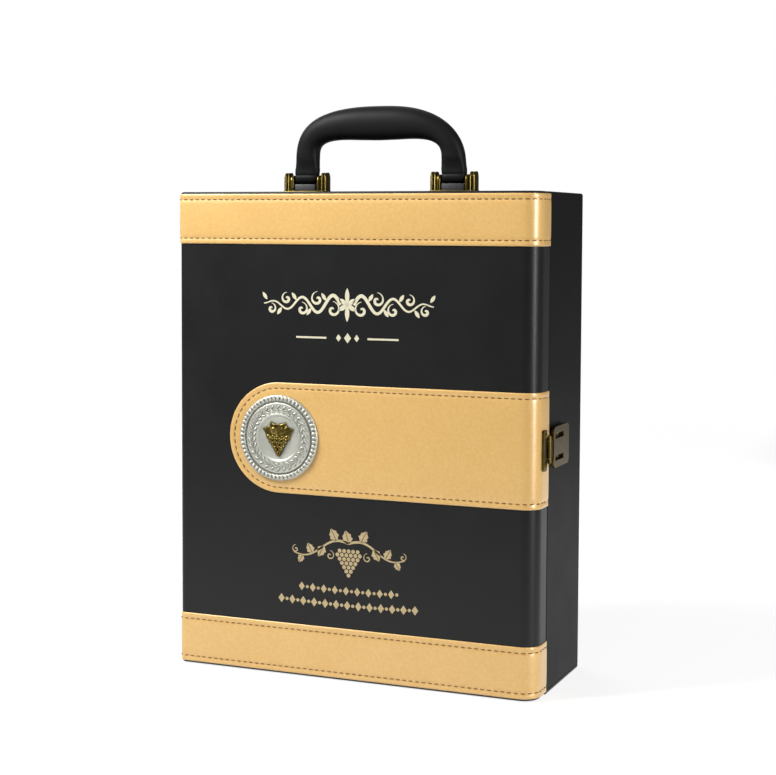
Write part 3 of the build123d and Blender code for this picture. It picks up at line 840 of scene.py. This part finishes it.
# Heights of the handle and its brackets count from the top of the box
PIN = node_box("handle_pin_right")
PIN_X, PIN_Y, PIN_Z = (PIN[0] + PIN[1]) / 2
BOX_TOP = lid_high.z

GRIP_LEG_WIDTH, GRIP_FOOT_THICK = 18.3, 9.0
GRIP_CORNER_THICK, GRIP_MIDDLE_THICK = 15.5, 22.0
GRIP_LEG_THICK, GRIP_SPRING, GRIP_SHAFT_SHIFT = 13.2, 20.3, 0.6
GRIP_OUTER = (PIN_X - GRIP_SHAFT_SHIFT + 8.7, 42.7)
GRIP_INNER = (PIN_X - GRIP_SHAFT_SHIFT - 8.7, 18.9)
# Exponents of the outer and inner curve, and how far they fall to the rounder right shoulder
OUTER_POWER, OUTER_FALL = 2.57, 0.33
INNER_POWER, INNER_FALL = 4.65, 0.50


def eased(t):
    """Smooth step from nothing to one."""
    return t * t * (3 - 2 * t)


def super_point(size, power, turn):
    """Point of a superellipse, as place along the handle and height over the box."""
    c, s = math.cos(turn), math.sin(turn)
    return Vector((math.copysign(size[0] * abs(c) ** (2 / power), c), 0,
                   GRIP_SPRING + size[1] * abs(s) ** (2 / power)))


def arch_stations():
    """Stations of the arch from its right leg to its left, rounder at the right shoulder.

    Each is an outer point, an inner point, a thickness from front to back and a squareness."""
    rows, count = [], 56
    for i in range(count + 1):
        turn = math.radians(4) + math.radians(172) * i / count
        outer = super_point(GRIP_OUTER, OUTER_POWER - OUTER_FALL * math.cos(turn), turn)
        inner = super_point(GRIP_INNER, INNER_POWER - INNER_FALL * math.cos(turn), turn)
        inner.z -= 0.6 + 0.6 * math.cos(math.pi * min(1, abs(inner.x) / 40))
        thick = GRIP_CORNER_THICK + (GRIP_MIDDLE_THICK - GRIP_CORNER_THICK) * math.sin(turn) ** 3
        leg = eased(min(1.0, math.sin(turn) / 0.45))
        rows.append((outer, inner, GRIP_LEG_THICK + (thick - GRIP_LEG_THICK) * leg, 0.7 + 0.2 * leg))
    return rows


def leg_stations(side):
    """Stations up one leg: a rounded foot, the dented seam above the pin and the swelling shaft."""
    rows, low = [], PIN_Z - BOX_TOP
    steps = []
    for i in range(7):
        fall = math.cos(math.pi / 2 * i / 6)
        steps.append((low - GRIP_FOOT_THICK / 2 * fall, 1 - 0.10 * fall ** 3,
                      math.sqrt(max(1 - fall * fall, 0.02)), 0.5))
    steps += [(low + h, 0.5 + 0.5 * dent, dent, 0.5) for h, dent in
              ((1.2, 1.0), (1.6, 0.95), (2.0, 0.93), (2.4, 0.95), (2.8, 1.0), (4.2, 1.0), (6.0, 1.02))]
    steps += [(low + 6.0 + 6.2 * i / 3, 1.0 - 0.015 * i, 1.02 + 0.36 * eased(i / 4), 0.55 + 0.04 * i)
              for i in (1, 2, 3)]
    for height, wide, thick, power in steps:
        half = GRIP_LEG_WIDTH / 2 * wide
        middle = PIN_X - GRIP_SHAFT_SHIFT * eased(min(1.0, max(0.0, (height - low) / 13)))
        outer, inner = (Vector((side * (middle + reach), 0, height)) for reach in (half, -half))
        rows.append((outer, inner, GRIP_FOOT_THICK * thick, power))
    return rows


def grip_rings():
    """Rings of the grip from its right foot over the middle to its left foot."""
    rings, around = [], 40
    for outer, inner, thick, power in leg_stations(1) + arch_stations() + list(reversed(leg_stations(-1))):
        centre = (outer + inner) / 2 + Vector((0, PIN_Y, BOX_TOP))
        reach = (inner - outer) / 2
        ring = []
        for i in range(around):
            turn = 2 * math.pi * i / around
            across, along = (math.copysign(abs(part) ** power, part)
                             for part in (math.cos(turn), math.sin(turn)))
            ring.append(centre + Vector((0, across * thick / 2, 0)) + reach * along)
        rings.append(ring)
    return rings


def handle_grip():
    """Padded leather grip in one piece."""
    obj = build("grip_leather", *loft(grip_rings()), sharp=50)
    finish_piece(obj, "handle", "black_leather", GRIP_LEATHER, ("handle_grip",))


# ---- metal fittings ----

# Plan outlines from the inner to the outer side, as (place, half depth): an ear has two ridges and a groove.
# An ear starts its width from the end of the bracket, and a rib its reach.
EAR_WIDTH, EAR_RADIUS = 4.6, 4.5
EAR_PLAN = [(0.0, 3.9), (0.3, 4.6), (0.8, 5.0), (1.3, 4.7), (1.6, 3.9), (2.0, 3.5), (2.4, 3.9), (2.7, 4.7),
            (3.2, 5.0), (3.8, 4.7), (4.3, 4.0), (EAR_WIDTH, 3.0)]
RIB_REACH, RIB_HEIGHT, RIB_RADIUS = 8.0, 13.0, 4.2
RIB_PLAN = [(0.0, 4.0), (0.4, 4.6), (1.2, 4.8), (2.4, 4.6), (3.0, 4.0), (3.8, 3.6)]


def post(x0, side, plan, height, radius):
    """Upright of a bracket with its plan outline, rounded over at the top."""
    rings = []
    steps = [(0.5, 1.0), (height - radius, 1.0)]
    steps += [(height - radius + radius * math.sin(turn), 0.12 + 0.88 * math.cos(turn))
              for turn in (math.pi / 2 * i / 8 for i in range(1, 9))]
    for z, share in steps:
        front = [Vector((x0 + side * x, PIN_Y - y * share, BOX_TOP + z)) for x, y in plan]
        back = [Vector((x0 + side * x, PIN_Y + y * share, BOX_TOP + z)) for x, y in reversed(plan)]
        rings.append(front + back)
    return loft(rings)


def rounded_slab(x0, x1, y0, y1, z0, z1, radius, edge):
    """Flat slab with rounded corners in plan and a rounded upper edge."""
    rings, corner = [], 5
    for z, inset in ((z0, 0.0), (z1 - edge, 0.0), (z1 - edge * 0.3, edge * 0.3), (z1, edge)):
        ring, reach = [], max(radius - inset, 0.05)
        for k, (cx, cy) in enumerate(((x1 - radius, y1 - radius), (x0 + radius, y1 - radius),
                                      (x0 + radius, y0 + radius), (x1 - radius, y0 + radius))):
            ring += [Vector((cx + reach * math.cos(turn), cy + reach * math.sin(turn), z))
                     for turn in (math.pi / 2 * (k + i / corner) for i in range(corner + 1))]
        rings.append(ring)
    return loft(rings)


def bracket(side_name):
    """Cast bracket: base, two fluted ears and a lower rib against the inner side of each."""
    node = f"handle_bracket_{side_name}"
    low, high = node_box(node)
    middle, half = (low.x + high.x) / 2, (high.x - low.x) / 2
    base_thickness = 1.5
    parts = [rounded_slab(low.x, high.x, low.y, high.y, low.z, low.z + base_thickness, 1.6, 0.5)]
    for end in (-1, 1):
        parts.append(post(middle + end * (half - EAR_WIDTH), end, EAR_PLAN, high.z - low.z, EAR_RADIUS))
        parts.append(post(middle + end * (half - RIB_REACH), end, RIB_PLAN, RIB_HEIGHT, RIB_RADIUS))
    obj = build(node + "_cast", *merged(parts), sharp=50, merge=FINE_MERGE)
    finish_piece(obj, "case", "antique_brass", BRASS, (node,))


def saddle(side_name):
    """Black block under the foot of a leg, with its top a little above the CAD node's."""
    rise = 0.3
    node = f"handle_saddle_{side_name}"
    low, high = node_box(node)
    slab = rounded_slab(low.x, high.x, low.y, high.y, low.z, high.z + rise, 1.0, 0.45)
    finish_piece(build(node + "_block", *slab, sharp=40), "case", "saddle_black", PLASTIC, (node,))


def nail(point, outward, radius, height):
    """Domed nail head."""
    outward = Vector(outward)
    side = outward.orthogonal().normalized()
    return blob(point, (side, outward.cross(side), outward), (radius, radius, height), 14, 5, low=-0.1)


def nails():
    """Nail heads of the hinges and the latch, each riding on the body that it holds."""
    groups = {"lid": [], "case": []}
    edge_distance, spacing = 5.0, 12.0
    plate_nail_height, catch_nail_height = 10.2, 8.0
    for name in ("lower", "upper"):
        for body in groups:
            low, high = node_box(f"hinge_{body}_leaf_{name}")
            y = low.y + edge_distance if body == "lid" else high.y - edge_distance
            middle = (low.z + high.z) / 2
            for z in (middle - spacing, middle, middle + spacing):
                groups[body].append(nail((LEFT - 1.2, y, z), (-1, 0, 0), 1.7, 0.9))
    low = node_box("latch_lid_plate")[0]
    for z in (TAB_Z - plate_nail_height, TAB_Z + plate_nail_height):
        groups["lid"].append(nail((RIGHT + 2.4, low.y + 3.6, z), (1, 0, 0), 1.9, 1.1))
    low, high = node_box("latch_catch_plate")
    for z in (TAB_Z - catch_nail_height, TAB_Z + catch_nail_height):
        groups["case"].append(nail((RIGHT + 0.8, (low.y + high.y) / 2, z), (1, 0, 0), 1.5, 0.45))
    for body, parts in groups.items():
        finish_piece(build(f"{body}_nails", *merged(parts), sharp=60), body, "antique_brass", BRASS)


# ---- floor, lamps and camera, in metres ----

# Turn of the white backdrop from +Y, glow added to the near floor, and tones of the rest of the studio
BACKDROP_TURN = 0.394
FLOOR_LIFT = 0.80
WALL_TONE, FLOOR_TONE = 0.09, 0.22
FLOOR_HALF_SIZE = 30.0
# Centre of the near floor
FLOOR_CENTRE = (-0.265, 0.377, 0)


def backdrop_tone(tree, direction, least, most, rest):
    """White behind the object as the photograph shows it, and the rest tone round the studio."""
    flat = tree.nodes.new("ShaderNodeVectorMath")
    flat.operation = "MULTIPLY"
    flat.inputs[1].default_value = (1, 1, 0)
    tree.links.new(direction, flat.inputs[0])
    unit = tree.nodes.new("ShaderNodeVectorMath")
    unit.operation = "NORMALIZE"
    tree.links.new(flat.outputs[0], unit.inputs[0])
    facing = tree.nodes.new("ShaderNodeVectorMath")
    facing.operation = "DOT_PRODUCT"
    facing.inputs[1].default_value = (-math.sin(BACKDROP_TURN), math.cos(BACKDROP_TURN), 0)
    tree.links.new(unit.outputs[0], facing.inputs[0])
    ramp = tree.nodes.new("ShaderNodeMapRange")
    ramp.interpolation_type = "SMOOTHSTEP"
    ramp.inputs["From Min"].default_value = least
    ramp.inputs["From Max"].default_value = most
    ramp.inputs["To Min"].default_value = rest
    ramp.inputs["To Max"].default_value = 1.0
    tree.links.new(facing.outputs["Value"], ramp.inputs["Value"])
    return ramp.outputs[0]


def seen_rays(tree):
    """One for rays from the camera, a reflection or a clear body, nothing for diffuse light."""
    path = tree.nodes.new("ShaderNodeLightPath")
    total = path.outputs["Is Camera Ray"]
    for name in ("Is Glossy Ray", "Is Transmission Ray"):
        node = tree.nodes.new("ShaderNodeMath")
        node.operation = "MAXIMUM"
        tree.links.new(total, node.inputs[0])
        tree.links.new(path.outputs[name], node.inputs[1])
        total = node.outputs[0]
    return total


def base_stage():
    """Pale floor, which keeps the object's shadow and turns to the backdrop's tone further out."""
    mesh = bpy.data.meshes.new("floor")
    size = FLOOR_HALF_SIZE
    corners = [(-size, -size, 0), (size, -size, 0), (size, size, 0), (-size, size, 0)]
    mesh.from_pydata(corners, [], [(0, 1, 2, 3)])
    floor = new_object("floor", mesh)
    s = Shader("floor_white")
    s.set(Base_Color=(0.38, 0.38, 0.38, 1), Roughness=0.9, Specular_IOR_Level=0.0)
    place = s.tree.nodes["Texture Coordinate"].outputs["Object"]
    distance = s.tree.nodes.new("ShaderNodeVectorMath")
    distance.operation = "LENGTH"
    middle = s.tree.nodes.new("ShaderNodeVectorMath")
    middle.operation = "SUBTRACT"
    middle.inputs[1].default_value = FLOOR_CENTRE
    s.link(place, middle.inputs[0])
    s.link(middle.outputs[0], distance.inputs[0])
    far = s.ramp(s.math("MULTIPLY", distance.outputs["Value"], 0.5), [(0.425, 0.0), (0.65, 1.0)])
    seen = seen_rays(s.tree)
    distant, lift = (s.tree.nodes.new("ShaderNodeEmission") for _ in range(2))
    s.link(backdrop_tone(s.tree, place, 0.85, 0.92, FLOOR_TONE), distant.inputs["Strength"])
    s.link(s.math("MULTIPLY", seen, FLOOR_LIFT), lift.inputs["Strength"])
    near = s.tree.nodes.new("ShaderNodeAddShader")
    s.link(s.surface.outputs["BSDF"], near.inputs[0])
    s.link(lift.outputs[0], near.inputs[1])
    mixer = s.tree.nodes.new("ShaderNodeMixShader")
    s.link(s.math("MULTIPLY", far, seen), mixer.inputs["Fac"])
    s.link(near.outputs[0], mixer.inputs[1])
    s.link(distant.outputs[0], mixer.inputs[2])
    s.link(mixer.outputs[0], s.tree.nodes["Material Output"].inputs["Surface"])
    floor.data.materials.append(s.material)


def area_light(name, place, target, size, power, size_y=None):
    """Square lamp that faces its target, or an upright one with a height of its own."""
    data = bpy.data.lights.new(name, "AREA")
    data.energy = power
    data.size = size
    if size_y:
        data.shape = "RECTANGLE"
        data.size_y = size_y
    lamp = bpy.data.objects.new(name, data)
    bpy.context.scene.collection.objects.link(lamp)
    lamp.location = place
    lamp.rotation_mode = "QUATERNION"
    lamp.rotation_quaternion = (Vector(target) - Vector(place)).to_track_quat("-Z", "Y")


def lights():
    """Four lamps and the studio round the box, bright only where the backdrop is seen."""
    area_light("key", (-0.60, -0.50, 0.95), (0, 0, 0.2), 0.36, 15.5)
    area_light("fill", (-1.27, -1.41, 0.95), (0, 0, 0.2), 0.5, 5)
    area_light("side", (1.98, -0.66, 0.65), (0.1, 0, 0.2), 0.24, 34, size_y=1.3)
    area_light("back", (-1.6, 1.6, 1.0), (0, 0, 0.2), 1.2, 16)
    world = bpy.data.worlds.new("studio")
    bpy.context.scene.world = world
    world.use_nodes = True
    tree = world.node_tree
    shade = tree.nodes["Background"]
    shade.inputs["Color"].default_value = (1, 1, 1, 1)
    shade.inputs["Strength"].default_value = 0.09
    white = tree.nodes.new("ShaderNodeBackground")
    white.inputs["Color"].default_value = (1, 1, 1, 1)
    coordinates = tree.nodes.new("ShaderNodeTexCoord")
    tone = backdrop_tone(tree, coordinates.outputs["Generated"], 0.92, 0.968, WALL_TONE)
    tree.links.new(tone, white.inputs["Strength"])
    mixer = tree.nodes.new("ShaderNodeMixShader")
    tree.links.new(seen_rays(tree), mixer.inputs["Fac"])
    tree.links.new(shade.outputs[0], mixer.inputs[1])
    tree.links.new(white.outputs[0], mixer.inputs[2])
    tree.links.new(mixer.outputs[0], tree.nodes["World Output"].inputs["Surface"])


def camera():
    """Camera solved from the corners of the box in the photograph."""
    pixels_wide, focal_pixels = 776.0, 1660.73
    yaw, pitch, roll = 0.3939, 0.0595, 0.0044
    place = Vector((473.06, -1125.92, 325.41)) * MM
    forward = Vector((-math.sin(yaw) * math.cos(pitch), math.cos(yaw) * math.cos(pitch), -math.sin(pitch)))
    level = Vector((math.cos(yaw), math.sin(yaw), 0))
    above = level.cross(forward)
    right = level * math.cos(roll) + above * math.sin(roll)
    up = above * math.cos(roll) - level * math.sin(roll)
    data = bpy.data.cameras.new("camera")
    data.sensor_width = 36.0
    data.lens = focal_pixels / pixels_wide * data.sensor_width
    data.shift_y = -0.08
    data.clip_start, data.clip_end = 0.05, 100
    cam = bpy.data.objects.new("camera", data)
    bpy.context.scene.collection.objects.link(cam)
    turn = Matrix((right, up, -forward)).transposed().to_4x4()
    cam.matrix_world = Matrix.Translation(place) @ turn
    bpy.context.scene.camera = cam


camera()
base_stage()
lights()
bpy.context.scene.view_settings.view_transform = "Standard"

gold_band("gold_band_top")
gold_band("gold_band_bottom")
gold_tab()
stitching()
medallion()
grapes()
foil_ornaments()
handle_grip()
for side_name in ("left", "right"):
    bracket(side_name)
    saddle(side_name)
nails()

# CAD nodes that a piece with rounded edges stands for: body, slot, material and width of the rounding
SOFTENED = [
    ("case_leather", "case", "black_leather", PAINTED_SHADE_CASE_LEATHER, 0.40),
    ("lid_leather", "lid", "black_leather", LEATHER, 0.40),
    ("case_base_panel", "case", "black_leather", LEATHER, 0.30),
    ("latch_lid_plate", "lid", "antique_brass", BRASS, 0.30),
    ("latch_flap", "latch", "antique_brass", BRASS, 0.40),
    ("latch_catch_plate", "case", "antique_brass", BRASS, 0.20),
    ("bottle_bed", "case", "flocked_lining", FLOCK, 1.0),
    ("neck_rest", "case", "flocked_lining", FLOCK, 1.6),
    ("divider_left", "case", "flocked_lining", FLOCK, 1.2),
    ("divider_right", "case", "flocked_lining", FLOCK, 1.2),
    ("lid_pad", "lid", "padded_lining", SATIN, 2.0),
]
for name in ("lower", "upper"):
    SOFTENED.append((f"hinge_lid_leaf_{name}", "lid", "antique_brass", BRASS, 0.2))
    SOFTENED.append((f"hinge_case_leaf_{name}", "case", "antique_brass", BRASS, 0.2))
for node, body, slot, material, width in SOFTENED:
    softened(node, body, slot, material, width)

# CAD nodes that stay as they are get a material: linings, boards, pins, eyes and screws
SLOTS = {part["node"]: part["material_slot"] for part in frame["record"]["subparts"]}
LININGS = {"case_lining": FLOCK, "lid_lining": FLOCK}
for node, obj in frame["nodes"].items():
    material = LININGS.get(node) or {"board": BOARD, "steel": STEEL, "antique_brass": BRASS}.get(SLOTS[node])
    if material:
        obj.data.materials.clear()
        obj.data.materials.append(material)
